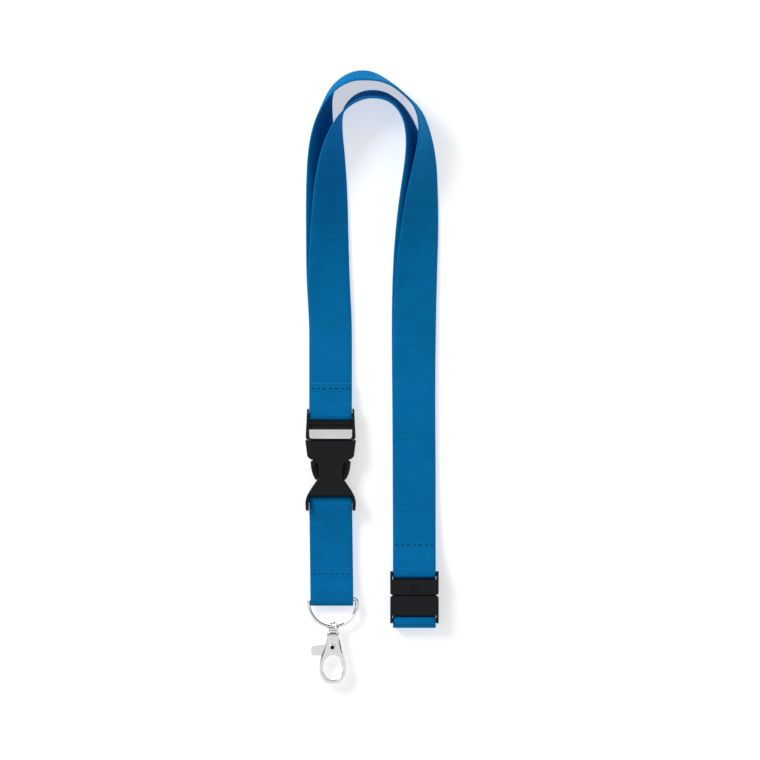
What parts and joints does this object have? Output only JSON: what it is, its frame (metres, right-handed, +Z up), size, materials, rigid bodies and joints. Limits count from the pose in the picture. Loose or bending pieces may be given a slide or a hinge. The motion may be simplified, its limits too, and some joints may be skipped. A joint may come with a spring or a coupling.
{
  "type": "neck lanyard",
  "caption": "Woven neck lanyard with a side-release buckle, a breakaway clasp, a D-ring and a swivel snap hook, laid out flat.",
  "frame": {"origin": "on the table under the centre of the whole lanyard", "axes": "+Y along the straps towards the neck end, +Z up from the table"},
  "size_m": [0.062, 0.2855, 0.0201],
  "materials": {
    "blue_webbing": "matt",
    "blue_thread": "matt",
    "black_plastic": "satin",
    "bright_metal": "polished",
    "spring_steel": "satin"
  },
  "bodies": {
    "neck_straps": {"outer_strap": "blue_webbing", "inner_strap": "blue_webbing", "join_stitches": "blue_thread", "outer_end_stitches": "blue_thread", "clasp_socket": "black_plastic"},
    "buckle_upper": {"buckle_plug": "black_plastic"},
    "left_prong": {"left_prong": "black_plastic"},
    "right_prong": {"right_prong": "black_plastic"},
    "buckle_lower": {"buckle_socket": "black_plastic"},
    "drop": {"drop_strap": "blue_webbing", "drop_stitches": "blue_thread"},
    "ring": {"d_ring": "bright_metal"},
    "eye": {"swivel_eye": "bright_metal"},
    "hook": {"hook_body": "bright_metal", "gate_rivet": "bright_metal", "gate_spring": "spring_steel"},
    "gate": {"gate_lever": "bright_metal"},
    "clasp_lower": {"clasp_plug": "black_plastic", "inner_strap_end": "blue_webbing", "inner_tail_stitches": "blue_thread"}
  },
  "joints": [
    {"name": "buckle_tilt", "type": "hinge", "parent": "neck_straps", "child": "buckle_upper", "pos_m": [-0.01914, -0.01865, 0.0042], "axis": [1, 0, 0], "range_deg": [-45, 45]},
    {"name": "left_prong_flex", "type": "hinge", "parent": "buckle_upper", "child": "left_prong", "pos_m": [-0.02664, -0.034, 0.0042], "axis": [0, 0, 1], "range_deg": [0, 6], "stiffness_Nm_per_rad": 0.005},
    {"name": "right_prong_flex", "type": "hinge", "parent": "buckle_upper", "child": "right_prong", "pos_m": [-0.01164, -0.034, 0.0042], "axis": [0, 0, 1], "range_deg": [-6, 0], "stiffness_Nm_per_rad": 0.005},
    {"name": "buckle_release", "type": "slide", "parent": "buckle_upper", "child": "buckle_lower", "axis": [0, -1, 0], "range_m": [0, 0.026]},
    {"name": "drop_swing", "type": "hinge", "parent": "buckle_lower", "child": "drop", "pos_m": [-0.01916, -0.058, 0.0042], "axis": [1, 0, 0], "range_deg": [-60, 60]},
    {"name": "ring_swing", "type": "hinge", "parent": "drop", "child": "ring", "pos_m": [-0.0181, -0.1037, 0.0035], "axis": [1, 0, 0], "range_deg": [-80, 80]},
    {"name": "eye_swing", "type": "hinge", "parent": "ring", "child": "eye", "pos_m": [-0.0181, -0.11685, 0.0035], "axis": [1, 0, 0], "range_deg": [-70, 70]},
    {"name": "hook_swivel", "type": "hinge", "parent": "eye", "child": "hook", "pos_m": [-0.0181, -0.1199, 0.0035], "axis": [0, 1, 0], "continuous": true},
    {"name": "gate_swing", "type": "hinge", "parent": "hook", "child": "gate", "pos_m": [-0.0183, -0.1263, 0.0035], "axis": [0, 0, 1], "range_deg": [-28, 0], "stiffness_Nm_per_rad": 0.02, "springref_deg": 17.19},
    {"name": "clasp_release", "type": "slide", "parent": "neck_straps", "child": "clasp_lower", "axis": [0, -1, 0], "range_m": [0, 0.008]}
  ]
}
